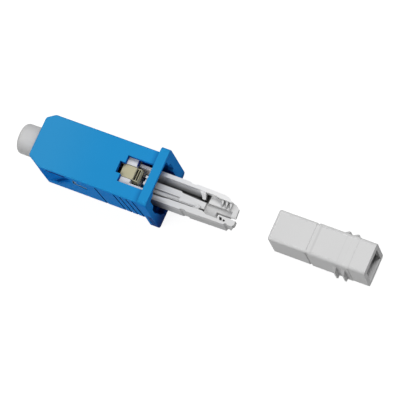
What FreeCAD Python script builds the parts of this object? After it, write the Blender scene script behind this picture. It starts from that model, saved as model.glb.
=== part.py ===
import FreeCAD, Part
import math
import os

# SC push-pull fibre connector of the field-fitted kind, with its cable cover pulled off in line.
#
# Frame: +X runs from the mating nose towards the cable, +Z is up, and the origin is on the ferrule's
# axis in the plane of the housing's nose. Sizes are in millimetres.

# ---- driving dimensions ----------------------------------------------------------------------
# coupling housing (the standard plug section is 9.0 x 7.4)
HOUSING_W = 9.0
HOUSING_H = 7.4
HOUSING_L = 21.9
WALL = 0.85
RIM_T = 1.5
RIM_W = 10.0
RIM_H = 11.0
RIM_R = 0.6
MOUTH_DEPTH = 1.0
WINDOW_X = (15.3, 19.85)
WINDOW_W = 4.5
NOTCH_X = 14.45
NOTCH_W = 1.95
SIDE_RECESS = 0.55
LATCH_WINDOW_X = (7.9, 10.3)
LATCH_WINDOW_H = 0.85
COUPLING_TRAVEL = 1.4
SLIDE_FIT = 0.05

# plug frame that rides in the housing
FRAME_X = (0.4, 17.0)
SHOULDER_X = (8.6, 10.2)
SHOULDER_RISE = 0.36
CAP_BORE_R = 2.72
CAP_BORE_END = 5.3
STOP_END = 6.2
SPRING_BORE_R = 2.45
CAVITY_X = 11.0
CAVITY_W = 5.0
CAVITY_H = 3.9

# ferrule, its holder and the spring
FERRULE_R = 1.25
FERRULE_X = (-1.6, 8.4)
HOLDER_NOSE_R = 1.7
HOLDER_FLANGE_R = 2.3
HOLDER_FLANGE_X = (6.22, 8.0)
HOLDER_TUBE_R = 1.6
HOLDER_END = 12.0
FIBRE_R = 0.0625
FIBRE_WAY_R = 0.15
SPRING_WIRE = 0.34
SPRING_R = 2.02
SPRING_TURNS = 4.5
SPRING_SIDES = 6

# dust cap
CAP_R = 2.6
CAP_X = (-3.6, 4.7)
CAP_END_T = 0.8

# fibre splice and its locking slider
SPLICE_X = (12.0, 16.9)
SPLICE_HALF_W = 0.74
SPLICE_BASE_H = 1.0
SPLICE_COVER_H = 0.85
GROOVE_W = 0.30
SLIDER_W = 2.1
SLIDER_X = (14.9, 17.15)
SLIDER_TOP = 2.72
SLIDER_LEG_T = 0.27

# rear body: socket in the plug frame, and the cable holder behind it
BODY_TOP = 0.8
BODY_BOTTOM = -2.65
SOCKET_HALF_H = 1.85
SOCKET_END = 17.0
BODY_HALF_W = 2.4
RAIL_T = 0.64
FLOOR_Z = (-2.0, -1.2)
FLOOR_END = 33.4
BED_TOP = -0.85
TONGUE_X = (18.5, 29.0)
HOOK_X = (27.0, 26.7)
TONGUE_TOP = -0.15
LEDGE_TOP = -0.3
TOOTH_COUNT = 3
TOOTH_PITCH = 0.72
TOOTH_X = 31.0

# cover that closes over the cable holder
COVER_X = (41.3, 57.75)
COVER_STEP_X = 48.2
COVER_W = 5.42
COVER_H = 6.3
COVER_SIDE_T = 0.27
COVER_TOP_T = 0.4
COVER_END_T = 0.7
CABLE_WAY_W = 4.0
CABLE_WAY_Z = (-2.2, 1.85)
RIB_X = (52.1, 53.55)
RIB_REACH = 0.65
BAND_X = (53.95, 55.0)

X_AXIS = FreeCAD.Vector(1, 0, 0)
Y_AXIS = FreeCAD.Vector(0, 1, 0)
Z_AXIS = FreeCAD.Vector(0, 0, 1)


# ---- helpers ---------------------------------------------------------------------------------
def point(x, y, z):
    return FreeCAD.Vector(x, y, z)


def box(xs, ys, zs):
    """Block between pairs of X, Y and Z limits."""
    (x0, x1), (y0, y1), (z0, z1) = sorted(xs), sorted(ys), sorted(zs)
    return Part.makeBox(x1 - x0, y1 - y0, z1 - z0, point(x0, y0, z0))


def bar(xs, width, height):
    """Block centred on the ferrule's axis."""
    return box(xs, (-width / 2, width / 2), (-height / 2, height / 2))


def rod(xs, radius):
    """Cylinder on the ferrule's axis."""
    return Part.makeCylinder(radius, xs[1] - xs[0], point(xs[0], 0, 0), X_AXIS)


def prism(corners, run):
    """Closed outline drawn out along a vector."""
    wire = Part.makePolygon(corners + corners[:1])
    return Part.Face(wire).extrude(run)


def plan_prism(outline, zs):
    """Outline in the XY plane raised between two heights."""
    return prism([point(x, y, zs[0]) for x, y in outline], Z_AXIS * (zs[1] - zs[0]))


def side_prism(outline, ys):
    """Outline in the XZ plane drawn out between two Y values."""
    return prism([point(x, ys[0], z) for x, z in outline], Y_AXIS * (ys[1] - ys[0]))


def end_prism(outline, xs):
    """Outline in the YZ plane drawn out between two X values."""
    return prism([point(xs[0], y, z) for y, z in outline], X_AXIS * (xs[1] - xs[0]))


def revolved(corners, arc):
    """Half outline (x, radius), closed by an arc of three points, turned about the ferrule's axis."""
    ends = [point(x, 0, r) for x, r in corners]
    lines = [Part.makeLine(a, b) for a, b in zip(ends, ends[1:])]
    curve = Part.Arc(*[point(x, 0, r) for x, r in arc]).toShape()
    return Part.Face(Part.Wire([curve] + lines)).revolve(point(0, 0, 0), X_AXIS, 360)


def edges_along(shape, axis, test):
    """Straight edges that run along an axis and whose middle passes the test."""
    found = []
    for edge in shape.Edges:
        if len(edge.Vertexes) != 2 or not isinstance(edge.Curve, Part.Line):
            continue
        run = edge.Vertexes[1].Point.sub(edge.Vertexes[0].Point)
        run.normalize()
        if abs(abs(run.dot(axis)) - 1) < 1e-6 and test(edge.CenterOfMass):
            found.append(edge)
    return found


def rounded(shape, radius, axis, test=lambda middle: True):
    """The shape with its chosen straight edges rounded."""
    return shape.makeFillet(radius, edges_along(shape, axis, test))


def mirror(shape):
    """Mirror image across the XZ plane."""
    return shape.mirror(point(0, 0, 0), Y_AXIS)


def both(shape):
    """The shape and its mirror image."""
    return [shape, mirror(shape)]


def fused(shapes):
    return shapes[0].fuse(shapes[1:]).removeSplitter()


def as_solid(shape):
    """The one solid that a node holds."""
    if len(shape.Solids) != 1 or not shape.isValid():
        raise ValueError(f"expected one valid solid, got {len(shape.Solids)}")
    return shape.Solids[0]


# ---- coupling housing ------------------------------------------------------------------------
def housing_blank():
    """Nose-chamfered bar, the rim that finger and thumb pull on, and the key rib below."""
    half, half_h = HOUSING_W / 2, HOUSING_H / 2
    near_nose, far_nose = (2.3, 1.3), (1.4, 0.95)
    outline = [
        (0, -half + near_nose[1]),
        (near_nose[0], -half),
        (HOUSING_L, -half),
        (HOUSING_L, half),
        (far_nose[0], half),
        (0, half - far_nose[1]),
    ]
    body = plan_prism(outline, (-half_h, half_h))
    body = rounded(body, 0.6, Z_AXIS, lambda m: m.x < 5)
    body = rounded(body, 0.22, X_AXIS)
    rim = rounded(bar((HOUSING_L - RIM_T, HOUSING_L), RIM_W, RIM_H), RIM_R, X_AXIS)
    key = box((3.2, 11.5), (-1.0, 1.0), (-half_h - 0.75, -half_h + 0.2))
    key = rounded(key, 0.2, X_AXIS, lambda m: m.z < -half_h)
    return fused([body, rim, key])


def housing_mouth():
    """Opening in the rim: a tall recess with a step half way up each side."""
    outline = [
        (1.5, 4.95), (2.9, 4.95), (3.1, 3.1), (3.55, 2.75), (3.5, 0.4), (3.1, 0.1),
        (3.15, -3.0), (2.6, -4.6), (-2.6, -4.6), (-3.4, -3.2), (-3.66, -1.7), (-4.15, -0.7),
        (-4.19, 1.4), (-3.65, 1.8), (-3.63, 4.0), (-2.6, 4.2), (-2.2, 4.95),
    ]
    return end_prism(outline, (HOUSING_L - MOUTH_DEPTH, HOUSING_L + 1))


def side_recess():
    """Recess along the socket's hook: a leaning floor, a groove under the top, a slanted ramp."""
    half = HOUSING_W / 2
    deep, low, high = half - SIDE_RECESS, -3.1, 2.85
    slant, ramp_run = 51, 1.38
    leaning = end_prism([(half, low), (deep, high), (half + 1, high), (half + 1, low)], (-1, 12))
    ramped = plan_prism([(-12, deep), (0, deep), (ramp_run, half), (ramp_run, half + 4), (-12, half + 4)], (-9, 9))
    ramped.rotate(point(0, 0, 0), Y_AXIS, slant)
    ramped.translate(point(4.4, 0, 0.1))
    undercut = box((2.6, 6.7), (half - 0.65, half + 1), (2.1, high))
    crease = side_prism([(4.0, -1.5), (4.5, -1.5), (7.1, 1.5), (6.6, 1.5)], (half - 0.42, half + 1))
    return [leaning.common(ramped), undercut, crease]


def grip_grooves():
    """Five fine grooves up the side, leaning with the finger and ending short of the top."""
    half = HOUSING_W / 2
    width, depth, lean = 0.26, 0.2, 0.09
    low, high = -HOUSING_H / 2 - 0.1, HOUSING_H / 2 - 0.4
    grooves = []
    for x in [12.45] + [15.75 + 1.1 * i for i in range(4)]:
        top, foot = x - lean * high, x - lean * low
        outline = [(top, high), (top + width, high), (foot + width, low), (foot, low)]
        grooves.append(side_prism(outline, (half - depth, half + 1)))
    return grooves


def outer_housing():
    """Coupling housing: slides on the plug frame, with a window over the locking slider."""
    half, half_h = HOUSING_W / 2, HOUSING_H / 2
    channel = bar((-1, HOUSING_L - MOUTH_DEPTH + 0.01), HOUSING_W - 2 * WALL, HOUSING_H - 2 * WALL)
    window = box(WINDOW_X, (-WINDOW_W / 2, WINDOW_W / 2), (0, half_h + 1))
    notch = box((NOTCH_X, WINDOW_X[0] + 1), (-NOTCH_W / 2, NOTCH_W / 2), (0, half_h + 1))
    shoulder_way = box(
        (SHOULDER_X[0] - COUPLING_TRAVEL - 0.05, SHOULDER_X[1] + 0.05),
        (half - WALL - 0.5, half - WALL + SHOULDER_RISE),
        (-1.65, 1.65),
    )
    (front, back), height = LATCH_WINDOW_X, LATCH_WINDOW_H
    slanted = [(front, 1.15), (front, 1.15 + height), (back, 0.3 + height), (back, 0.3)]
    latch_window = side_prism(slanted, (half - WALL - 0.5, half + 1))
    side_cuts = [shoulder_way, latch_window] + side_recess() + grip_grooves()
    cuts = [channel, window, notch, housing_mouth()]
    for cut in side_cuts:
        cuts += both(cut)
    return housing_blank().cut(cuts)


# ---- plug frame ------------------------------------------------------------------------------
def plug_frame():
    """White frame: carries the ferrule in front, takes the rear body's socket behind."""
    width = HOUSING_W - 2 * WALL - 2 * SLIDE_FIT
    height = HOUSING_H - 2 * WALL - 2 * SLIDE_FIT
    block = rounded(bar(FRAME_X, width, height), 0.3, X_AXIS)
    shoulder = box(SHOULDER_X, (0, width / 2 + SHOULDER_RISE), (-1.5, 1.5))
    block = fused([block] + both(shoulder))
    bore = rod((FRAME_X[0] - 1, CAP_BORE_END), CAP_BORE_R)
    stop_hole = rod((CAP_BORE_END - 1, STOP_END + 1), HOLDER_NOSE_R + 0.08)
    spring_room = rod((STOP_END, CAVITY_X + 0.5), SPRING_BORE_R)
    cavity = bar((CAVITY_X, FRAME_X[1] + 1), CAVITY_W, CAVITY_H)
    slider_half = SLIDER_W / 2 + 0.06
    slot = box((13.3, FRAME_X[1] + 1), (-slider_half, slider_half), (0, HOUSING_H))
    snap_slot = box((14.0, 15.7), (CAVITY_W / 2 - 0.1, HOUSING_W), (-0.8, 0.8))
    hook_way = box((FRAME_X[0] - 1, SHOULDER_X[0] - 1.9), (width / 2 - 0.45, width), (-1.7, 1.7))
    front, back = FRAME_X[0], FRAME_X[0] + 1.2
    nose = plan_prism([(front - 1, 2.95), (front, 2.95), (back, width / 2), (back, width), (front - 1, width)], (-5, 5))
    side_cuts = both(snap_slot) + both(hook_way) + both(nose)
    return block.cut([bore, stop_hole, spring_room, cavity, slot] + side_cuts)


# ---- ferrule unit ----------------------------------------------------------------------------
def ferrule():
    """Zirconia ferrule: a chamfered, domed tip and a fine bore for the fibre."""
    x0, x1 = FERRULE_X
    tip_r, chamfer, dome = 0.85, 0.35, 0.06
    arc = [(x0, 0), (x0 + dome / 4, tip_r / 2), (x0 + dome, tip_r)]
    corners = [(x0 + dome, tip_r), (x0 + dome + chamfer, FERRULE_R), (x1, FERRULE_R), (x1, 0), (x0, 0)]
    return revolved(corners, arc).cut(rod((x0 - 1, x1 + 1), FIBRE_R))


def ferrule_holder():
    """Collar pressed on the ferrule; its flats stop it turning and its tube centres the spring."""
    flange_x = HOLDER_FLANGE_X
    nose = rod((5.0, flange_x[0]), HOLDER_NOSE_R)
    flange = rod(flange_x, HOLDER_FLANGE_R).cut(both(box((5, 9), (1.95, 3), (-3, 3))))
    tube = rod((flange_x[1], HOLDER_END), HOLDER_TUBE_R)
    seat = rod((4.5, FERRULE_X[1]), FERRULE_R)
    fibre_way = rod((FERRULE_X[1] - 0.5, HOLDER_END + 1), FIBRE_WAY_R)
    return fused([nose, flange, tube]).cut([seat, fibre_way])


def fibre_stub():
    """Length of glass fibre glued in the ferrule and reaching the middle of the splice."""
    return rod((FERRULE_X[0] + 0.02, 14.8), FIBRE_R)


def ferrule_spring():
    """Wire spring between the holder's flange and the rear body's front wall."""
    room = CAVITY_X - HOLDER_FLANGE_X[1]
    end_gap = 0.02
    start = HOLDER_FLANGE_X[1] + SPRING_WIRE / 2 + end_gap
    length = room - SPRING_WIRE - 2 * end_gap
    helix = Part.makeHelix(length / SPRING_TURNS, length, SPRING_R)
    helix.Placement = FreeCAD.Placement(point(start, 0, 0), FreeCAD.Rotation(Y_AXIS, 90))
    coil = helix.Edges[0]
    middle = coil.valueAt(coil.FirstParameter)
    along = coil.tangentAt(coil.FirstParameter)
    out = point(0, middle.y, middle.z).normalize()
    across = along.cross(out)
    corners = []
    for i in range(SPRING_SIDES):
        turn = 2 * math.pi * (i + 0.5) / SPRING_SIDES
        corners.append(middle + (out * math.cos(turn) + across * math.sin(turn)) * SPRING_WIRE / 2)
    section = Part.makePolygon(corners + corners[:1])
    return Part.Wire(helix.Edges).makePipeShell([section], True, True)


def splice_base():
    """Lower plate of the splice, with the V-groove that lines up the two fibres."""
    x0, x1 = SPLICE_X
    plate = box((x0, x1), (-SPLICE_HALF_W, SPLICE_HALF_W), (-SPLICE_BASE_H, 0))
    groove = end_prism([(-GROOVE_W / 2, 0), (GROOVE_W / 2, 0), (0, -GROOVE_W / 2)], (x0 - 1, x1 + 1))
    lead_in = Part.makeCone(0.0, 0.55, 1.1, point(x1 - 1.1, 0, 0), X_AXIS)
    return plate.cut([groove, lead_in])


def splice_cover():
    """Upper plate: its sloped back is what the slider wedges down on."""
    x0, x1 = SPLICE_X[0] + 0.2, SPLICE_X[1] - 0.3
    low, high = 0.55, SPLICE_COVER_H
    outline = [(x0, 0.0), (x1, 0.0), (x1, high), (x0 + 3.2, high), (x0 + 0.6, low), (x0, low)]
    plate = side_prism(outline, (-SPLICE_HALF_W, SPLICE_HALF_W))
    lead_in = Part.makeCone(0.0, 0.45, 0.9, point(x1 - 0.9, 0, 0), X_AXIS)
    return plate.cut([rod((x0 - 1, x1 + 1), FIBRE_R + 0.01), lead_in])


def clamp_slider():
    """Locking slider: a saddle over the splice, and a lower push pad with two pockets behind it."""
    x0, x1 = SLIDER_X
    half = SLIDER_W / 2
    roof = SPLICE_COVER_H + 0.06
    pad_x, pad_top, wall = x1 + 0.78, SLIDER_TOP - 0.2, 0.12
    profile = [
        (x0, roof), (x0, SLIDER_TOP), (x1, SLIDER_TOP), (x1 + 0.05, pad_top),
        (pad_x, pad_top - 0.12), (pad_x + 0.1, 1.5), (pad_x - 0.15, 1.1), (x1 + 0.1, roof),
    ]
    saddle = side_prism(profile, (-half, half))
    pocket_xs = [(x1 + 0.08, x1 + 0.37), (x1 + 0.46, pad_x - 0.07)]
    pockets = [box(xs, (wall - half, half - wall), (1.75 - 0.2 * i, 3)) for i, xs in enumerate(pocket_xs)]
    leg = box((x0, x1), (half - SLIDER_LEG_T, half), (-0.85, roof + 0.1))
    return fused([saddle] + both(leg)).cut(pockets)


# ---- dust cap --------------------------------------------------------------------------------
def dust_cap():
    """Thimble that grips the ferrule: rounded closed end, chamfered rim behind."""
    x0, x1 = CAP_X
    edge_r = 0.7
    front_r = CAP_R - 0.08
    inner = FERRULE_R + 0.02
    inset = edge_r * (1 - math.sqrt(0.5))
    arc = [(x0, front_r - edge_r), (x0 + inset, front_r - inset), (x0 + edge_r, front_r)]
    corners = [
        (x0 + edge_r, front_r),
        (x1 - 0.6, CAP_R),
        (x1, CAP_R - 0.25),
        (x1, inner + 0.3),
        (x1 - 0.3, inner),
        (x0 + CAP_END_T, inner),
        (x0 + CAP_END_T, 0),
        (x0, 0),
        (x0, front_r - edge_r),
    ]
    return revolved(corners, arc)


# ---- rear body -------------------------------------------------------------------------------
def outer_edge():
    """Outside of a rail in plan, front to back: a flare, the cover's snap notch, a slight taper."""
    half = BODY_HALF_W
    return [
        (SOCKET_END, half - 0.22),
        (20.5, half),
        (25.6, half),
        (25.85, half - 0.17),
        (26.6, half - 0.17),
        (26.75, half - 0.03),
        (31.5, half - 0.12),
    ]


def far_rail():
    """Rail whose end is bevelled to lead the cover on."""
    inner = BODY_HALF_W - RAIL_T
    end = [(32.3, 2.14), (32.6, 1.95), (33.05, 1.6), (33.1, 1.45), (31.0, 1.5), (30.2, inner - 0.1), (SOCKET_END, inner)]
    return plan_prism(outer_edge() + end, (BODY_BOTTOM, BODY_TOP))


def near_rail():
    """Rail that ends in a notched finger, with two V pockets sunk in its jaw."""
    inner = BODY_HALF_W - RAIL_T
    thick, jaw = inner - 0.3, inner - 0.62
    end = [(33.15, 2.26), (33.45, 2.02), (33.7, 2.02), (33.88, 2.14), (34.6, 2.1), (34.85, 1.82), (34.85, jaw)]
    inside = [
        (32.0, jaw),
        (31.95, inner),
        (29.85, inner - 0.08),
        (29.2, thick - 0.1),
        (23.3, thick),
        (21.0, inner),
        (SOCKET_END, inner),
    ]
    rail = plan_prism(outer_edge() + end + inside, (BODY_BOTTOM, BODY_TOP))
    pockets = [
        plan_prism([(32.1, 1.28), (32.6, 1.34), (32.75, 1.85), (32.3, 1.8)], (-0.5, 2)),
        plan_prism([(32.85, 1.5), (33.25, 1.54), (33.2, 1.86), (32.9, 1.84)], (-0.5, 2)),
    ]
    underside = [(32.9, -3), (33.4, -2.0), (34.1, -1.8), (34.6, -0.3), (36, -0.3), (36, -3)]
    skirt_relief = side_prism(underside, (0, 4))
    return mirror(rail.cut(pockets + [skirt_relief]))


def fibre_hook(x):
    """Hook that turns the cable's strands inward; its back slopes down to the tongue."""
    root = BODY_HALF_W - RAIL_T + 0.2
    outline = [
        (x, root), (x + 0.55, 1.5), (x + 1.0, 1.0), (x + 1.2, 0.62),
        (x + 1.6, 0.55), (x + 1.75, 0.75), (x + 1.6, 1.2), (x + 1.4, root),
    ]
    hook = plan_prism(outline, (FLOOR_Z[1] - 0.1, BODY_TOP))
    slope = end_prism([(1.77, BODY_TOP), (0.3, TONGUE_TOP), (0.3, 2), (1.77, 2)], (x - 1, x + 3))
    return hook.cut(slope)


def cove():
    """Coved foot of a rail, where the inner wall turns into the floor."""
    top, inner = FLOOR_Z[1], BODY_HALF_W - RAIL_T
    outline = [
        (inner + 0.1, top - 0.1), (inner + 0.1, 0.3), (inner, 0.3), (1.62, -0.1),
        (1.38, -0.45), (1.1, -0.75), (1.0, -0.85), (1.0, top - 0.1),
    ]
    return end_prism(outline, (SOCKET_END + 1.3, 28.4))


def tongue():
    """Ramp that carries the bared fibre: narrower behind its jog, with a groove along its front."""
    x0, x1 = TONGUE_X
    outline = [(x0, 0.74), (24.45, 0.74), (24.8, 0.55), (x1, 0.32), (x1, -0.84), (x0, -0.96)]
    block = plan_prism(outline, (FLOOR_Z[1] - 0.1, TONGUE_TOP))
    bead = box((x0, 24.6), (-0.34, -0.2), (TONGUE_TOP - 0.1, TONGUE_TOP + 0.1))
    groove = box((x0 - 1, 24.6), (-0.84, -0.34), (TONGUE_TOP - 0.22, TONGUE_TOP + 1))
    lead_in = side_prism([(x0 - 1, -0.6), (x0, -0.6), (x0 + 0.8, 0.2), (x0 - 1, 0.2)], (-2, 2))
    return block.fuse(bead).cut([groove, lead_in])


def cable_jaw():
    """Ledge inside the far rail with V teeth that bite the cable's jacket."""
    outline = [
        (29.3, 0.38), (29.3, 1.8), (31.5, 2.1), (33.0, 1.75), (33.7, 1.55),
        (34.26, 1.1), (34.37, -0.58), (33.5, -0.58), (33.5, 0.38),
    ]
    ledge = plan_prism(outline, (FLOOR_Z[1] - 0.1, LEDGE_TOP))
    teeth = []
    for i in range(TOOTH_COUNT):
        x = TOOTH_X + i * TOOTH_PITCH
        tooth = [(x, 1.65), (x + 0.12, 1.65), (x + TOOTH_PITCH, 0.6 - 0.1 * i), (x + TOOTH_PITCH * 0.97, 1.65)]
        teeth.append(plan_prism(tooth, (LEDGE_TOP - 0.1, 0.45)))
    return [ledge] + teeth


def rear_body():
    """Rear body: a socket that snaps into the plug frame and the toothed, hooked cable holder."""
    half = BODY_HALF_W
    inner = half - RAIL_T
    socket_wall = box((CAVITY_X, SOCKET_END), (inner, half), (-SOCKET_HALF_H, SOCKET_HALF_H))
    ramp = [(16.2, SOCKET_HALF_H + 0.1), (16.35, SOCKET_HALF_H), (16.75, BODY_TOP), (18, BODY_TOP), (18, 2)]
    ramp_down = side_prism(ramp, (-3, 3))
    front_wall = box((CAVITY_X, HOLDER_END - 0.1), (-half, half), (-SOCKET_HALF_H, SOCKET_HALF_H))
    socket_floor = box((CAVITY_X, SOCKET_END + 1), (-inner - 0.1, inner + 0.1), (-SOCKET_HALF_H, FLOOR_Z[1]))
    snap = box((14.1, 15.6), (half - 0.2, half + 0.5), (-0.7, 0.7))
    floor = box((SOCKET_END, FLOOR_END), (-inner - 0.1, inner + 0.1), FLOOR_Z)
    bed = box((TONGUE_X[1] - 0.1, FLOOR_END), (-inner - 0.1, 0.5), (FLOOR_Z[1] - 0.1, BED_TOP))
    pieces = [front_wall, socket_floor, floor, bed, far_rail(), near_rail(), tongue()]
    pieces += both(socket_wall) + both(snap) + both(cove()) + cable_jaw()
    pieces += [fibre_hook(HOOK_X[0]), mirror(fibre_hook(HOOK_X[1]))]
    wedge_hole = box((SPLICE_X[1] - 0.3, TONGUE_X[0] - 0.1), (-1.15, 1.15), (-SOCKET_HALF_H - 1, FLOOR_Z[1] + 0.1))
    tube_way = rod((CAVITY_X - 1, HOLDER_END + 1), HOLDER_TUBE_R + 0.08)
    finger_gap = box((30.95, 36), (-1.14, -0.42), (-3, LEDGE_TOP - 0.2))
    finger_free = box((33.5, 36), (-1.14, -0.58), (-3, 3))
    end_relief = box((FLOOR_END - 0.4, 36), (-inner - 0.2, -1.14), (FLOOR_Z[0] - 0.1, FLOOR_Z[0] + 0.05))
    plate_relief = side_prism([(33.1, -3), (33.1, -1.7), (34.0, -0.85), (36, -0.85), (36, -3)], (-0.6, 3))
    corner = [(33.1, 1.72), (33.7, 1.56), (34.27, 1.1), (34.3, 0.9), (36, 0.9), (36, 4), (33.1, 4)]
    trims = [plate_relief, plan_prism(corner, (-3, 3)), finger_gap, finger_free, end_relief]
    return fused(pieces).cut([tube_way, ramp_down, wedge_hole] + trims)


# ---- cable cover -----------------------------------------------------------------------------
def cover_rib(x, top):
    """Hooked rib on the cover's side: sloped in front, square behind, sloped off to its top."""
    half = COVER_W / 2
    reach = half + RIB_REACH
    outline = [(x, half - 0.2), (x + 0.42, reach), (x + 0.7, reach), (x + 0.78, half - 0.2)]
    rib = plan_prism(outline, (-2.3, top))
    slope = end_prism([(half, top), (reach + 0.1, top - 1.2), (reach + 0.1, top + 1), (half, top + 1)], (x - 1, x + 2))
    return rib.cut(slope)


def rear_cover():
    """Cover: a tube that closes over the cable holder, ribbed for grip, open for the cable behind."""
    x0, x1 = COVER_X
    edge_r, corner_r, step = 0.55, 0.4, 0.14
    front = bar((x0, COVER_STEP_X + 0.2), COVER_W - step, COVER_H - step)
    front = rounded(front, corner_r, Z_AXIS, lambda middle: middle.x < x0 + 1)
    front = rounded(front, edge_r - step / 2, X_AXIS)
    rear = rounded(bar((COVER_STEP_X, x1), COVER_W, COVER_H), edge_r, X_AXIS)
    band = rounded(bar(BAND_X, COVER_W + 0.12, COVER_H + 0.12), edge_r, X_AXIS)
    ribs = [cover_rib(x, 2.6) for x in RIB_X] + [mirror(cover_rib(x, 1.7)) for x in RIB_X]
    hollow = bar((x0 - 1, x1 - COVER_END_T), COVER_W - 2 * COVER_SIDE_T, COVER_H - 2 * COVER_TOP_T)
    cable_way = box((x1 - 2, x1 + 1), (-CABLE_WAY_W / 2, CABLE_WAY_W / 2), CABLE_WAY_Z)
    core = rounded(bar((COVER_STEP_X - 1, COVER_STEP_X + 1), COVER_W - 0.34, COVER_H - 0.34), edge_r - 0.17, X_AXIS)
    ring = bar((COVER_STEP_X - 0.45, COVER_STEP_X), COVER_W + 1, COVER_H + 1).cut(core)
    return fused([front, rear, band] + ribs).cut([hollow, cable_way, ring])


PARTS = {
    "outer_housing": outer_housing,
    "plug_frame": plug_frame,
    "ferrule": ferrule,
    "ferrule_holder": ferrule_holder,
    "fibre_stub": fibre_stub,
    "ferrule_spring": ferrule_spring,
    "splice_base": splice_base,
    "splice_cover": splice_cover,
    "clamp_slider": clamp_slider,
    "dust_cap": dust_cap,
    "rear_body": rear_body,
    "rear_cover": rear_cover,
}

os.makedirs("parts", exist_ok=True)
for node, make in PARTS.items():
    shape = as_solid(make())
    shape.exportStep(f"parts/{node}.step")
    span = shape.BoundBox
    print(f"{node:15s} {shape.Volume:8.2f} mm3   x {span.XMin:6.2f} to {span.XMax:6.2f}")
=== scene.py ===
# %% [markdown]
# # A fibre plug with its cover pulled off
#
# The plug is a blue push-pull housing round a white frame, with a cap over the ferrule in front and
# a toothed cable holder behind. A pale cover lies in line with the holder.
#
# A solid model already gives every piece its true shape and place. This file gives them their finish,
# and adds a spring of its own, a few small pieces that only fill a gap, the table they lie on, the light
# and the camera. The solids are loaded as a fixed frame and never moved. Their box is kept, so that the
# finished scene can be compared with it.
#
# x runs from the plug's nose to its cable end, y across it, and z up. Blender works in metres, and a
# plug is small, so places are written in millimetres and turned into metres where they are used.

# %% Load the solids
import math

import bpy
from mathutils import Matrix, Vector


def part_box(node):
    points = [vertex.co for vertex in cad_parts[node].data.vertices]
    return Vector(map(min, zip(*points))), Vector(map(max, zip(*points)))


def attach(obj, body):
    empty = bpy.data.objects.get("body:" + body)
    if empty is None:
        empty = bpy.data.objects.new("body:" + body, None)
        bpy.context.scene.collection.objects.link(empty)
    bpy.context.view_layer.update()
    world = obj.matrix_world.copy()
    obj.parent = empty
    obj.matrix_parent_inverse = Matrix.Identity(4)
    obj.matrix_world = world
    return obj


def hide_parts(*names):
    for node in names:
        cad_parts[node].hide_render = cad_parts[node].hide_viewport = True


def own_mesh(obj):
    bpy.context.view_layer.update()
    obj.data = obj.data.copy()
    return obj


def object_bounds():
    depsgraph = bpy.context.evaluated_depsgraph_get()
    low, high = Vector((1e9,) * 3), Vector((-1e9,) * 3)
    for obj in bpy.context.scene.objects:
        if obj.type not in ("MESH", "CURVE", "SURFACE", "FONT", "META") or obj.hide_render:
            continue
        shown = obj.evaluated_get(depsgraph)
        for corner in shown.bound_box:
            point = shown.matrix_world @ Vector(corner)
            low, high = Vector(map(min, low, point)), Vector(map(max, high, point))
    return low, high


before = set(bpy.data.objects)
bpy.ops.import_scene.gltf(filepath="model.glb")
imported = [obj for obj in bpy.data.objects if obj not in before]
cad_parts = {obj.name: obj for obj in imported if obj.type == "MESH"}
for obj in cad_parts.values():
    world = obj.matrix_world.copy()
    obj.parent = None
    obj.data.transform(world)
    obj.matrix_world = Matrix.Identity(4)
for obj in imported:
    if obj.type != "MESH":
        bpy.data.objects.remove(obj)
MM = 0.001
solid_low, solid_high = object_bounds()
print("solid box, mm:", [round(v / MM, 2) for v in (*solid_low, *solid_high)])

# %% [markdown]
# ## Writing shaders as sums
#
# A finish is worked out at each point of a surface: a base colour, times a slow drift, plus a fine
# grain. In Blender each step is a node, and a long row of nodes is hard to read in code. A small
# class that turns Python's + - * / into Math nodes keeps a finish as short as its formula. The
# reflected forms are there too, so that 1.0 - mask works as well as mask - 1.0.

# %% A number inside a shader
class Field:
    """A value that varies over a surface. Arithmetic on it adds Math nodes."""

    def __init__(self, shader, socket):
        self.shader = shader
        self.socket = socket

    def __abs__(self):
        return self.shader.math("ABSOLUTE", self)

    def __add__(self, other):
        return self.shader.math("ADD", self, other)

    def __radd__(self, other):
        return self.shader.math("ADD", other, self)

    def __sub__(self, other):
        return self.shader.math("SUBTRACT", self, other)

    def __rsub__(self, other):
        return self.shader.math("SUBTRACT", other, self)

    def __mul__(self, other):
        return self.shader.math("MULTIPLY", self, other)

    def __rmul__(self, other):
        return self.shader.math("MULTIPLY", other, self)

    def __truediv__(self, other):
        return self.shader.math("DIVIDE", self, other)

    def __rtruediv__(self, other):
        return self.shader.math("DIVIDE", other, self)

    def __pow__(self, other):
        return self.shader.math("POWER", self, other)

    def __rpow__(self, other):
        return self.shader.math("POWER", other, self)


print("fields can be added, multiplied, divided and raised")

# %% [markdown]
# The shader itself needs one method: make a node of this type, with these settings, and feed these
# sockets with numbers or with other fields. Everything else is written with it.

# %% A shader that is filled node by node
class Shader:
    """One material, empty at first, and a method that adds any node to it."""

    def __init__(self, name):
        self.material = bpy.data.materials.new(name)
        self.material.use_nodes = True
        self.tree = self.material.node_tree
        self.tree.nodes.clear()

    def node(self, kind, settings=None, sockets=None, output=0):
        """The new node's output, by its name or place, or None where it has no outputs."""
        made = self.tree.nodes.new(kind)
        for key, value in (settings or {}).items():
            setattr(made, key, value)
        for key, value in (sockets or {}).items():
            if isinstance(value, Field):
                self.tree.links.new(value.socket, made.inputs[key])
            else:
                made.inputs[key].default_value = value
        return Field(self, made.outputs[output]) if len(made.outputs) else None

    def math(self, operation, *values):
        return self.node("ShaderNodeMath", {"operation": operation}, dict(enumerate(values)))

    def noise(self, scale, place=None, detail=2.0):
        """A cloudy pattern between 0 and 1, with about this many lumps to the metre."""
        place = place or self.node("ShaderNodeTexCoord", output="Object")
        return self.node("ShaderNodeTexNoise", {}, {"Vector": place, "Scale": scale, "Detail": detail})

    def surface(self, sockets):
        shown = self.node("ShaderNodeBsdfPrincipled", {}, sockets)
        self.node("ShaderNodeOutputMaterial", {}, {"Surface": shown})


print("shaders are made node by node")
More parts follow.
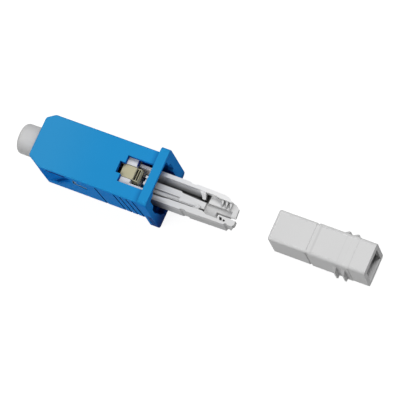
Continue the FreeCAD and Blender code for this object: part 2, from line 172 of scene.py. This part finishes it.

# %% [markdown]
# ## Mixing colours
#
# A Math node would turn a colour grey, so colours go through the Mix node. Two sums are enough. A blend
# serves wherever two colours meet: in a slot's painted shade, on the housing's sides with their painted
# shade, and in every place where light or shade is painted. A product lightens or darkens a colour by a
# field.
#
# The Mix node holds a set of sockets for each kind of value, and all sets have the same names. So its
# colour sockets are picked by their place in the row.

# %% Mixing colours
MIX_FACTOR = 0
MIX_FROM = 6
MIX_TO = 7
MIX_RESULT = 2


def rgb(red, green, blue):
    """A fixed colour, as a socket wants it."""
    return (red, green, blue, 1.0)


def grey(value):
    return rgb(value, value, value)


def blend(mask, new, old):
    """The new colour where the mask is 1, and the old one where it is 0."""
    settings = {"data_type": "RGBA"}
    sockets = {MIX_FACTOR: mask, MIX_FROM: old, MIX_TO: new}
    return mask.shader.node("ShaderNodeMix", settings, sockets, output=MIX_RESULT)


def times(colour, shade):
    """The colour, with all its channels multiplied by the same field."""
    settings = {"data_type": "RGBA", "blend_type": "MULTIPLY"}
    sockets = {MIX_FACTOR: 1.0, MIX_FROM: colour, MIX_TO: shade}
    return shade.shader.node("ShaderNodeMix", settings, sockets, output=MIX_RESULT)


print("half grey as a fixed colour:", grey(0.5))

# %% [markdown]
# ## Moulded plastic
#
# Every coloured piece here is injection moulded. Close up such plastic is not one flat colour: it
# drifts a little where the melt flowed, and the tool leaves a very fine grain that spreads the
# highlight. The grain could be modelled, but at a few hundredths of a millimetre a bump is enough.
# Object coordinates are used, because they are in metres here and need no unwrapping.
#
# Slots, grooves and the inside of a mouth look deeper in colour than open faces, because light that
# reaches them has already bounced off the same plastic. That shade is painted into the base colour here.
# The Ambient Occlusion node measures how shut in a point is, so one formula darkens all of them, and the
# painted shade colour says what they turn to.

# %% Moulded plastic
GRAIN_SIZE = 0.12 * MM
GRAIN_DEPTH = 0.01 * MM
GRAIN_STRENGTH = 0.25
FLOW_SCALE = 180.0
FLOW_DRIFT = 0.04
PORE_DRIFT = 0.02
ROUGHNESS_DRIFT = 0.08


def moulded(name, colour, painted_shade, roughness=0.5, gloss=0.25, reach=1.6, fall=1.0, touches=None):
    """Plastic of a colour that turns to the painted shade colour where the surface is shut in.

    The colour is fixed, or a function of the shader that works it out. The painted shading is a function
    too: it gives pairs of a mask and a colour of painted light or shade, laid on in turn. The reach is
    how far off another face still shuts a point in, in millimetres.
    """
    shader = Shader(name)
    flow = shader.noise(FLOW_SCALE)
    pores = shader.noise(1.0 / GRAIN_SIZE, detail=3.0)
    openness = shader.node(
        "ShaderNodeAmbientOcclusion", {"samples": 16}, {"Distance": reach * MM}, output="AO"
    ) ** fall
    shade = (flow - 0.5) * FLOW_DRIFT + (pores - 0.5) * PORE_DRIFT + 1.0
    lit = colour(shader) if callable(colour) else colour
    # The colour turns to the painted shade colour where the point is shut in. Then each place's painted
    # light and shade is laid on.
    tint = times(blend(openness, lit, painted_shade), shade)
    for mask, paint in touches(shader) if touches else ():
        tint = blend(mask, paint, tint)
    bump = shader.node(
        "ShaderNodeBump", {}, {"Strength": GRAIN_STRENGTH, "Distance": GRAIN_DEPTH, "Height": pores}
    )
    shader.surface({
        "Base Color": tint,
        "Roughness": (flow - 0.5) * ROUGHNESS_DRIFT + roughness,
        "Specular IOR Level": gloss,
        "Normal": bump,
    })
    return shader.material


print("grain of moulded plastic, mm:", GRAIN_SIZE / MM)

# %% [markdown]
# ## Where on the piece
#
# Some painted shades and lights belong to a place: a side, a recess, an end. A place is a range of x, y
# and z in millimetres, and a soft step at each end of the range keeps its border from looking cut. An
# image painted by hand could hold the same, but a range of numbers needs no unwrapping and no file.

# %% Places on a piece
def step_up(value, low, high):
    """Rises smoothly from 0 below the low value to 1 above the high one."""
    return value.shader.node(
        "ShaderNodeMapRange",
        {"interpolation_type": "SMOOTHSTEP"},
        {"Value": value, "From Min": low, "From Max": high},
    )


def step_down(value, low, high):
    """Falls smoothly from 1 below the low value to 0 above the high one."""
    return 1.0 - step_up(value, low, high)


def within(value, low, high, soft):
    """1 between two values and 0 outside, with borders that are soft for this far both ways."""
    return step_up(value, low - soft, low + soft) * step_down(value, high - soft, high + soft)


def along(vector, letter):
    """One part of a vector field: X, Y or Z."""
    return vector.shader.node("ShaderNodeSeparateXYZ", {}, {"Vector": vector}, output=letter)


def millimetres(shader):
    """Position on the piece as three fields, in millimetres."""
    place = shader.node("ShaderNodeTexCoord", output="Object")
    return [along(place, letter) / MM for letter in "XYZ"]


print("places are measured in units of", MM, "m")

# %% [markdown]
# ## The housing's blue
#
# The upper face is a clear blue, a little paler towards the nose. The sides are painted a deeper and
# purer blue, and the sunk panel beside the nose a blue with no red in it at all. This is painted shade,
# for the light that falls on them at a slant. Two materials on one piece could give this, but on the
# real piece it is one plastic seen at two slants, so the surface's own slant chooses which painted blue
# it gets.

# %% The housing's blue
TOP_BLUE = rgb(0.021, 0.305, 0.68)
NOSE_BLUE = rgb(0.037, 0.325, 0.68)
SIDE_SHADE_BLUE = rgb(0.016, 0.32, 0.96)
PANEL_SHADE_BLUE = rgb(0.0, 0.23, 0.82)
SLOT_SHADE_BLUE = rgb(0.0, 0.001, 0.15)


def housing_blue(shader):
    x, y, _ = millimetres(shader)
    slant = along(shader.node("ShaderNodeTexCoord", output="Normal"), "Z")
    # Faces that slant away from the top get the painted shade blues of the sides and the panel.
    upward = step_up(slant, 0.2, 0.9)
    nose = step_down(x, 1.0, 13.0)
    panel = step_down(abs(y), 4.40, 4.47) * step_down(x, 7.0, 7.6)
    top = blend(nose, NOSE_BLUE, TOP_BLUE)
    side = blend(panel, PANEL_SHADE_BLUE, SIDE_SHADE_BLUE)
    return blend(upward, top, side)


print("blues of the housing: top", TOP_BLUE, "side", SIDE_SHADE_BLUE)

# %% [markdown]
# Five painted shades and lights come on top of that blue. A painted navy shadow runs under the lip of
# the sunk panel, and painted shade darkens a slanted crease across the panel. The walls of the latch
# window get a painted grey light, because the white frame behind them throws light on them. The foot of
# the rim's back face and the foot of the mouth inside it get painted shade, because the cable holder
# keeps the light off them. Lamps set just so could give the same shades, but they would change
# everything else too, so each shade is painted where it belongs.

# %% Painted light and shade on the housing
LIP_SHADOW_NAVY = rgb(0.0, 0.01, 0.16)
CREASE_SHADE_BLUE = rgb(0.0, 0.09, 0.42)
LATCH_LIGHT_GREY = rgb(0.24, 0.40, 0.58)
RIM_SHADE = rgb(0.0, 0.05, 0.34)
MOUTH_SHADE_NAVY = rgb(0.0, 0.0, 0.12)
CREASE_LEAN = 0.867
CREASE_X = 5.55


def housing_touches(shader):
    x, y, z = millimetres(shader)
    sideways = abs(y)
    outside = step_up(sideways, 3.6, 3.8)
    # Painted shadow: a navy line under the lip of the sunk panel.
    lip_shadow = within(x, 3.5, 6.9, soft=0.2) * within(z, 2.8, 3.38, soft=0.08) * outside
    # Painted shade: a darker blue along the slanted crease across the panel.
    off_crease = x - z * CREASE_LEAN - CREASE_X
    crease = within(off_crease, -0.7, 0.9, soft=0.4) * within(z, -1.9, 1.2, soft=0.3) * outside
    # Painted light: the latch window's walls are made greyer, for the light the white frame throws on
    # them.
    latch_height = within(z, 0.2, 2.05, soft=0.05)
    latch_depth = within(sideways, 3.7, 4.44, soft=0.02)
    latch_walls = within(x, 7.85, 10.35, soft=0.1) * latch_height * latch_depth
    # Painted shade at the foot of the rim's back face and of the mouth, where the cable holder keeps the
    # light off.
    rim_foot = step_up(x, 21.5, 21.8) * step_down(z, -5.5, 3.0) * step_down(y, 0.0, 4.0)
    mouth_foot = within(x, 20.8, 21.7, soft=0.1) * step_down(z, -1.0, 0.5) * step_down(y, 0.0, 1.0)
    return (
        (lip_shadow, LIP_SHADOW_NAVY),
        (crease * 0.6, CREASE_SHADE_BLUE),
        (latch_walls, LATCH_LIGHT_GREY),
        (rim_foot * 0.95, RIM_SHADE),
        (mouth_foot * 0.7, MOUTH_SHADE_NAVY),
    )


print("the crease crosses the panel's middle at x, mm:", CREASE_X)

# %% [markdown]
# ## Blue light on the frame
#
# The frame ends behind the slider, under the far edge of the window. That end only gets light that
# has bounced off the housing, so it looks navy although its plastic is white. The bounce alone comes
# out too pale here, so the navy is painted on.

# %% Painted shade on the frame
FRAME_END_NAVY = rgb(0.01, 0.06, 0.40)


def frame_touches(shader):
    x, y, _ = millimetres(shader)
    shaded_end = step_up(x, 16.95, 16.99) * step_up(y, 1.2, 1.5)
    return ((shaded_end, FRAME_END_NAVY),)


print("the frame's shaded end:", FRAME_END_NAVY)

# %% [markdown]
# ## Light and shade in the cable holder
#
# The holder is a deep channel between two rails, with a tongue in its middle. Its rails catch the
# most light and its floor the least. The slots on both sides of the tongue and the foot of the far
# wall are nearly black, and the far wall above that foot is bright again. Where the holder goes into
# the housing's mouth it is shaded. The part under the window is light, because the window lets light
# in. The lamps alone leave the channel too even, so its darkest and lightest places are painted.
#
# The tongue gets narrower behind a small jog in its far edge. The far slot follows that edge, so its
# mask is worked out from the same edge.

# %% Painted light and shade in the cable holder
TONGUE_EDGE = 0.74
JOG_START = 24.45
JOG_END = 24.8
JOG_STEP = 0.19
TONGUE_TAPER = 0.0548


def holder_touches(shader):
    x, y, z = millimetres(shader)
    floor = step_down(z, -0.75, -0.1)
    rail_tops = step_up(z, 0.6, 0.78) * step_up(y, 0.5, 1.5)
    wall_length = within(x, 21.0, 30.0, soft=0.3)
    far_wall = wall_length * within(y, 1.35, 1.84, soft=0.05) * step_up(z, -0.9, 0.1) * (1.0 - rail_tops)
    foot_length = within(x, 20.0, 29.5, soft=0.3)
    wall_foot = foot_length * within(y, 0.9, 1.84, soft=0.1) * step_down(z, -1.1, 0.1)
    behind_jog = shader.math("MAXIMUM", x - JOG_END, 0.0)
    tongue_edge = TONGUE_EDGE - step_up(x, JOG_START, JOG_END) * JOG_STEP - behind_jog * TONGUE_TAPER
    tongue_foot = within(x, 19.0, 29.0, soft=0.1) * step_down(z, -0.12, 0.0)
    far_slot = tongue_foot * step_up(y - tongue_edge, -0.13, -0.05) * step_down(y, 0.95, 1.1)
    near_length = within(x, 22.6, 28.3, soft=0.5)
    near_slot = near_length * within(y, -1.33, -1.14, soft=0.04) * step_down(z, -0.4, -0.2)
    near_throat = step_down(x, 21.6, 24.2) * step_down(y, -2.3, -1.6)
    throat = step_down(x, 19.6, 21.2)
    under_window = step_down(x, 19.0, 19.3)
    # Painted shade on the floor, the slots, the wall foot and the throats. Painted light on the rail
    # tops, the far wall and the part under the window.
    return (
        (floor * 0.35, grey(0.45)),
        (rail_tops, grey(0.94)),
        (far_wall, grey(0.98)),
        (wall_foot * 0.9, grey(0.10)),
        (far_slot * 0.9, grey(0.06)),
        (near_slot * 0.9, grey(0.08)),
        (near_throat * 0.7, rgb(0.22, 0.21, 0.20)),
        (throat * 0.75, rgb(0.32, 0.31, 0.29)),
        (under_window, rgb(0.95, 0.92, 0.90)),
    )


print("tongue's far edge in front of the jog and behind it, mm:", TONGUE_EDGE, TONGUE_EDGE - JOG_STEP)

# %% [markdown]
# ## Painted shade on the cover
#
# Two faint dark lines cross the cover's upper face, one about halfway and a still fainter one nearer the
# cable end. They are too shallow to be modelled, so they are painted as grey lines of painted shade.

# %% Painted shade on the cover
LINE_SHADE_GREY = grey(0.60)


def cover_touches(shader):
    x, y, z = millimetres(shader)
    upper = step_up(z, 3.05, 3.14) * step_up(y, -2.6, -2.2)
    # Painted shade: two grey lines across the upper face.
    halfway_shade = within(x, 48.4, 48.75, soft=0.12) * upper
    faint_line = within(x, 52.95, 53.05, soft=0.1) * upper
    return ((halfway_shade * 0.5, LINE_SHADE_GREY), (faint_line * 0.3, LINE_SHADE_GREY))


print("grey of the cover's marks:", LINE_SHADE_GREY[0])

# %% [markdown]
# ## Which piece has which plastic
#
# The colours are linear, as shaders want them, so they look darker here than on the table.

# %% Finishes of the moulded pieces
def pale(name, value, painted_shade=0.3, fall=0.7, **settings):
    """Grey-white plastic, whose slots turn to a share of the same grey as painted shade."""
    return moulded(name, grey(value), grey(value * painted_shade), fall=fall, **settings)


finishes = {
    "outer_housing": moulded(
        "housing blue", housing_blue, SLOT_SHADE_BLUE, gloss=0.008, fall=1.6, touches=housing_touches
    ),
    "plug_frame": pale("frame white", 0.78, painted_shade=0.6, roughness=0.45, reach=0.8, touches=frame_touches),
    "rear_body": pale("holder white", 0.80, painted_shade=0.50, reach=0.8, touches=holder_touches),
    "rear_cover": pale("cover grey", 0.76, painted_shade=0.75, reach=0.6, touches=cover_touches),
    "dust_cap": pale("cap grey", 0.69),
    "clamp_slider": moulded("slider khaki", rgb(0.58, 0.54, 0.35), rgb(0.05, 0.045, 0.03), reach=0.8),
    "splice_base": moulded("splice grey", rgb(0.07, 0.065, 0.06), grey(0.02)),
    "splice_cover": moulded("splice lid grey", rgb(0.09, 0.085, 0.08), grey(0.02)),
}
print("moulded pieces:", len(finishes))

# %% [markdown]
# ## Ceramic, metal and glass
#
# Three kinds of piece are not moulded. The ferrule is polished zirconia, which is white and shines
# under a thin clear layer. The collar is turned and the spring is drawn, so both are metal with fine
# lines round or along them. An image of lines wrapped round each piece would do, but a noise that is
# drawn out across the axis gives the same and needs no unwrapping. The fibre is bare glass.

# %% Ceramic, metal and glass
CERAMIC_WHITE = 0.86
CERAMIC_DRIFT = 0.03
LINE_SCALE = 9000.0
LINE_STRETCH = (1.0, 0.05, 0.05)
LINE_STRENGTH = 0.2
LINE_DRIFT = 0.2
GLASS_ROUGHNESS = 0.05
GLASS_DRIFT = 0.04


def ceramic(name):
    shader = Shader(name)
    shade = (shader.noise(900.0) - 0.5) * CERAMIC_DRIFT + CERAMIC_WHITE
    shader.surface({
        "Base Color": times(rgb(1.0, 1.0, 0.97), shade),
        "Roughness": 0.12,
        "Coat Weight": 0.4,
        "Coat Roughness": 0.05,
    })
    return shader.material


def lined_metal(name, colour, roughness):
    shader = Shader(name)
    place = shader.node("ShaderNodeTexCoord", output="Object")
    drawn_out = shader.node("ShaderNodeMapping", {}, {"Vector": place, "Scale": LINE_STRETCH})
    lines = shader.noise(LINE_SCALE, drawn_out)
    bump = shader.node(
        "ShaderNodeBump", {}, {"Strength": LINE_STRENGTH, "Distance": GRAIN_DEPTH, "Height": lines}
    )
    shader.surface({
        "Base Color": colour,
        "Metallic": 1.0,
        "Roughness": (lines - 0.5) * LINE_DRIFT + roughness,
        "Normal": bump,
    })
    return shader.material


def bare_glass(name):
    shader = Shader(name)
    shader.surface({
        "Base Color": rgb(0.85, 0.93, 0.95),
        "Roughness": (shader.noise(600.0) - 0.5) * GLASS_DRIFT + GLASS_ROUGHNESS,
        "Transmission Weight": 0.8,
        "IOR": 1.45,
    })
    return shader.material


finishes["ferrule"] = ceramic("zirconia")
finishes["ferrule_holder"] = lined_metal("plated collar", rgb(0.72, 0.69, 0.62), roughness=0.28)
finishes["ferrule_spring"] = lined_metal("spring wire", grey(0.6), roughness=0.22)
finishes["fibre_stub"] = bare_glass("fibre glass")
print("all finishes:", len(finishes))

# %% [markdown]
# ## Softening the moulded edges
#
# No moulded edge is knife sharp. The solids leave most of them sharp, and then they catch no light.
# A bevel of a few hundredths of a millimetre, put on as a modifier, gives each edge its thin
# highlight and leaves the solid itself alone. The faces are welded first, because they come apart
# along their edges, and a bevel needs a shared edge. Edges that turn by less than 32 degrees belong to
# round faces, so they are left as they are. The cap is round in the solid already, and the turned and
# drawn pieces keep the edges they have.

# %% Dress every solid
EDGE_WIDTHS = {
    "outer_housing": 0.09,
    "plug_frame": 0.06,
    "rear_body": 0.06,
    "rear_cover": 0.08,
    "clamp_slider": 0.05,
    "splice_base": 0.02,
    "splice_cover": 0.02,
}
WELD_GAP = 0.002
LEAST_TURN = math.radians(32)


def soften_edges(solid, width):
    weld = solid.modifiers.new("weld", "WELD")
    weld.merge_threshold = WELD_GAP * MM
    bevel = solid.modifiers.new("edge", "BEVEL")
    bevel.width = width * MM
    bevel.segments = 2
    bevel.limit_method = "ANGLE"
    bevel.angle_limit = LEAST_TURN
    bevel.use_clamp_overlap = True
    bevel.harden_normals = True


for node_name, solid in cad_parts.items():
    solid.data.materials.clear()
    solid.data.materials.append(finishes[node_name])
    if node_name in EDGE_WIDTHS:
        soften_edges(solid, EDGE_WIDTHS[node_name])
print("dressed:", ", ".join(sorted(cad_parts)))

# %% [markdown]
# ## The spring behind the ferrule
#
# The collar pushes this spring back by a millimetre when the plug is mated. A rigid coil would run
# through the collar, so the solid's coil is hidden and a coil is drawn here as a mesh of its own,
# attached to the core body. It has the solid coil's turns and radius, and a rounder wire. A curve with a
# round bevel would give the same wire.

# %% Spring coil
def coil_mesh(name, start, length, turns, radius, wire):
    """A round wire wound about the x axis. Sizes are in millimetres."""
    steps, sides = 120, 10
    corners = []
    for step in range(steps + 1):
        turn = 2 * math.pi * turns * step / steps
        outward = Vector((0.0, math.sin(turn), -math.cos(turn)))
        middle = Vector((start + length * step / steps, 0.0, 0.0)) + outward * radius
        for side in range(sides):
            angle = 2 * math.pi * side / sides
            rim = outward * math.cos(angle) + Vector((1.0, 0.0, 0.0)) * math.sin(angle)
            corners.append((middle + rim * wire / 2) * MM)
    faces = []
    for step in range(steps):
        for side in range(sides):
            here = step * sides + side
            beside = step * sides + (side + 1) % sides
            faces.append((here, beside, beside + sides, here + sides))
    faces.append(tuple(range(sides)))
    faces.append(tuple(range(steps * sides + sides - 1, steps * sides - 1, -1)))
    mesh = bpy.data.meshes.new(name)
    mesh.from_pydata(corners, [], faces)
    mesh.shade_smooth()
    made = bpy.data.objects.new(name, mesh)
    bpy.context.scene.collection.objects.link(made)
    return made


SPRING_SEAT = 11.0
SPRING_ROOM = 3.0
SPRING_GAP = 0.19
coil = coil_mesh(
    "spring_coil",
    start=SPRING_SEAT - SPRING_ROOM + SPRING_GAP,
    length=SPRING_ROOM - 2 * SPRING_GAP,
    turns=4.5,
    radius=2.02,
    wire=0.34,
)
coil.data.materials.append(finishes["ferrule_spring"])
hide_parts("ferrule_spring")
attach(coil, "core")
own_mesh(coil)

# %% [markdown]
# ## The frame's arms and the fibre guide
#
# Behind the slider the window shows two thin white arms, one along each edge, and a forked block
# between them that guides the bare fibre to the splice. They could be part of the solid frame, but
# they are small, carry nothing and only fill the window, so they are made here as softened boxes.
# All of them end just short of the window's rear edge. The arms begin at the frame's end, and the
# guide stands far enough back to leave the slider its travel.

# %% Arms and guide in the window
BOX_EDGE = 0.05


def softened_box(name, xs, ys, zs, finish):
    """A box between two corners in millimetres, with its edges bevelled."""
    middle = [(low + high) / 2 * MM for low, high in (xs, ys, zs)]
    bpy.ops.mesh.primitive_cube_add(size=1.0, location=middle)
    made = bpy.context.object
    made.name = name
    made.scale = [(high - low) * MM for low, high in (xs, ys, zs)]
    bpy.ops.object.transform_apply(location=True, rotation=False, scale=True)
    edge = made.modifiers.new("edge", "BEVEL")
    edge.width = BOX_EDGE * MM
    edge.segments = 2
    made.data.materials.append(finish)
    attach(made, "core")
    print(name, "mm:", xs, ys, zs)


FRAME_END = round(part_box("plug_frame")[1].x / MM, 3)
ARM_END = 19.84
NEAR_X = (FRAME_END - 0.2, ARM_END)
FAR_X = (FRAME_END + 0.05, ARM_END)
GUIDE_X = (19.08, ARM_END)
FORK_Z = (0.3, 2.75)
arm_white = pale("arm white", 0.92, painted_shade=0.8, roughness=0.45, reach=0.4)
guide_white = finishes["plug_frame"]
softened_box("near_arm", NEAR_X, (-2.32, -1.72), (2.3, 2.79), arm_white)
softened_box("far_arm", FAR_X, (1.66, 2.14), (0.6, 1.6), arm_white)
softened_box("fibre_guide_far", GUIDE_X, (0.0, 0.42), FORK_Z, guide_white)
softened_box("fibre_guide_near", GUIDE_X, (-1.1, -0.6), FORK_Z, guide_white)
softened_box("fibre_guide_bed", GUIDE_X, (-0.59, -0.01), (0.3, 2.3), guide_white)

# %% [markdown]
# ## The fillet beside the tongue
#
# Between the near rail and the tongue the solid's floor slopes down and ends in a narrow, deep gap along
# the tongue. On the real piece only a thin shadow line shows there. The gap could be closed in the
# solid, but it is small and hidden from most sides. So a thin bar of the holder's own plastic fills it
# here, nearly up to the tongue's top, and the slope beside the bar gets painted shade that stands in for
# the shadow line.

# %% Fillet beside the tongue
FILLET_X = (19.0, 28.38)
softened_box("foot_fillet", FILLET_X, (-1.06, -0.86), (-1.1, -0.22), finishes["rear_body"])

# %% [markdown]
# ## The table
#
# The plug lies on a plain white table. One large plane is enough. It sits just under the rim, the
# lowest point of the plug, so that the shadow meets it.
#
# A table bright enough to look white would throw as much light back up, and flatten the plug's
# sides. So most of its white is a glow that only the lens, mirrors and glass see. The Light Path
# node tells them apart. The rest is plain grey that takes the lamps and keeps the plug's shadow.

# %% Table
TABLE_GLOW = 0.88
TABLE_GREY = 0.3
TABLE_GAP = 0.05
TABLE_WIDTH = 3.0
TABLE_MIDDLE = 0.03

table_shader = Shader("white table")
seen = table_shader.node("ShaderNodeLightPath", output="Is Camera Ray")
mirrored = table_shader.node("ShaderNodeLightPath", output="Is Glossy Ray")
through = table_shader.node("ShaderNodeLightPath", output="Is Transmission Ray")
strength = table_shader.math("MINIMUM", seen + mirrored + through, 1.0) * TABLE_GLOW
glow = table_shader.node("ShaderNodeEmission", {}, {"Color": grey(1.0), "Strength": strength})
matt = table_shader.node("ShaderNodeBsdfDiffuse", {}, {"Color": grey(TABLE_GREY)})
both = table_shader.node("ShaderNodeAddShader", {}, {0: glow, 1: matt})
table_shader.node("ShaderNodeOutputMaterial", {}, {"Surface": both})

table_place = (TABLE_MIDDLE, 0.0, solid_low.z - TABLE_GAP * MM)
bpy.ops.mesh.primitive_plane_add(size=TABLE_WIDTH, location=table_place)
table = bpy.context.object
table.name = "table"
table.data.materials.append(table_shader.material)
print("table at z, mm:", round(table.location.z / MM, 2))

# %% [markdown]
# ## Light
#
# A product on a white table is lit by broad sources, so that its shadow is faint. The key softbox
# stands high behind the plug's far side and makes the upper faces the brightest. A front one lights
# the near sides to about a third of that, and a wide one at the nose lifts the darkest corners. The
# even glow of the room is weak, so that grooves keep their depth.

# %% Light
PLUG_CENTRE = Vector((0.027, 0.0, 0.0))
ROOM_GLOW = 0.12


def softbox(name, place, size, power):
    """A square lamp that faces the plug. Its place and size are in metres."""
    data = bpy.data.lights.new(name, "AREA")
    data.shape = "SQUARE"
    data.size = size
    data.energy = power
    box = bpy.data.objects.new(name, data)
    box.location = place
    box.rotation_euler = (PLUG_CENTRE - Vector(place)).to_track_quat("-Z", "Y").to_euler()
    bpy.context.scene.collection.objects.link(box)


softbox("key", (0.16, 0.28, 0.56), size=0.25, power=2.1)
softbox("front", (-0.03, -0.30, 0.55), size=0.25, power=1.1)
softbox("side fill", (-0.42, -0.45, 0.4), size=0.35, power=0.9)

world = bpy.data.worlds.new("studio")
world.use_nodes = True
background = world.node_tree.nodes["Background"].inputs
background["Color"].default_value = grey(1.0)
background["Strength"].default_value = ROOM_GLOW
bpy.context.scene.world = world
bpy.context.scene.view_settings.view_transform = "Standard"

# %% [markdown]
# ## Camera
#
# The plug is seen steeply from above and behind its cable end, with its length running across the
# view and down to the right. A long lens from half a metre keeps its sides almost parallel. The
# camera's place is worked out from the point it aims at, two angles and a distance. Then it is turned
# about its own line of sight, as anyone tilts a camera to lay a long thing across the view.

# %% Camera
AIM = Vector((27.871, 0.310, 0.0)) * MM
DISTANCE = 468.85 * MM
AZIMUTH = math.radians(-36.520)
ELEVATION = math.radians(67.443)
TILT = math.radians(-31.273)

level = Vector((-math.sin(AZIMUTH), math.cos(AZIMUTH), 0.0))
outward = Vector((math.cos(AZIMUTH), math.sin(AZIMUTH), 0.0))
backward = outward * math.cos(ELEVATION) + Vector((0.0, 0.0, math.sin(ELEVATION)))
upright = Matrix((level, backward.cross(level), backward)).transposed().to_4x4()

lens_data = bpy.data.cameras.new("lens")
lens_data.lens = 270.0
lens_data.sensor_width = 36.0
camera = bpy.data.objects.new("camera", lens_data)
tilt = Matrix.Rotation(TILT, 4, "Z")
camera.matrix_world = Matrix.Translation(AIM + backward * DISTANCE) @ upright @ tilt
bpy.context.scene.collection.objects.link(camera)
bpy.context.scene.camera = camera
print("camera, mm:", [round(v / MM, 1) for v in camera.location])
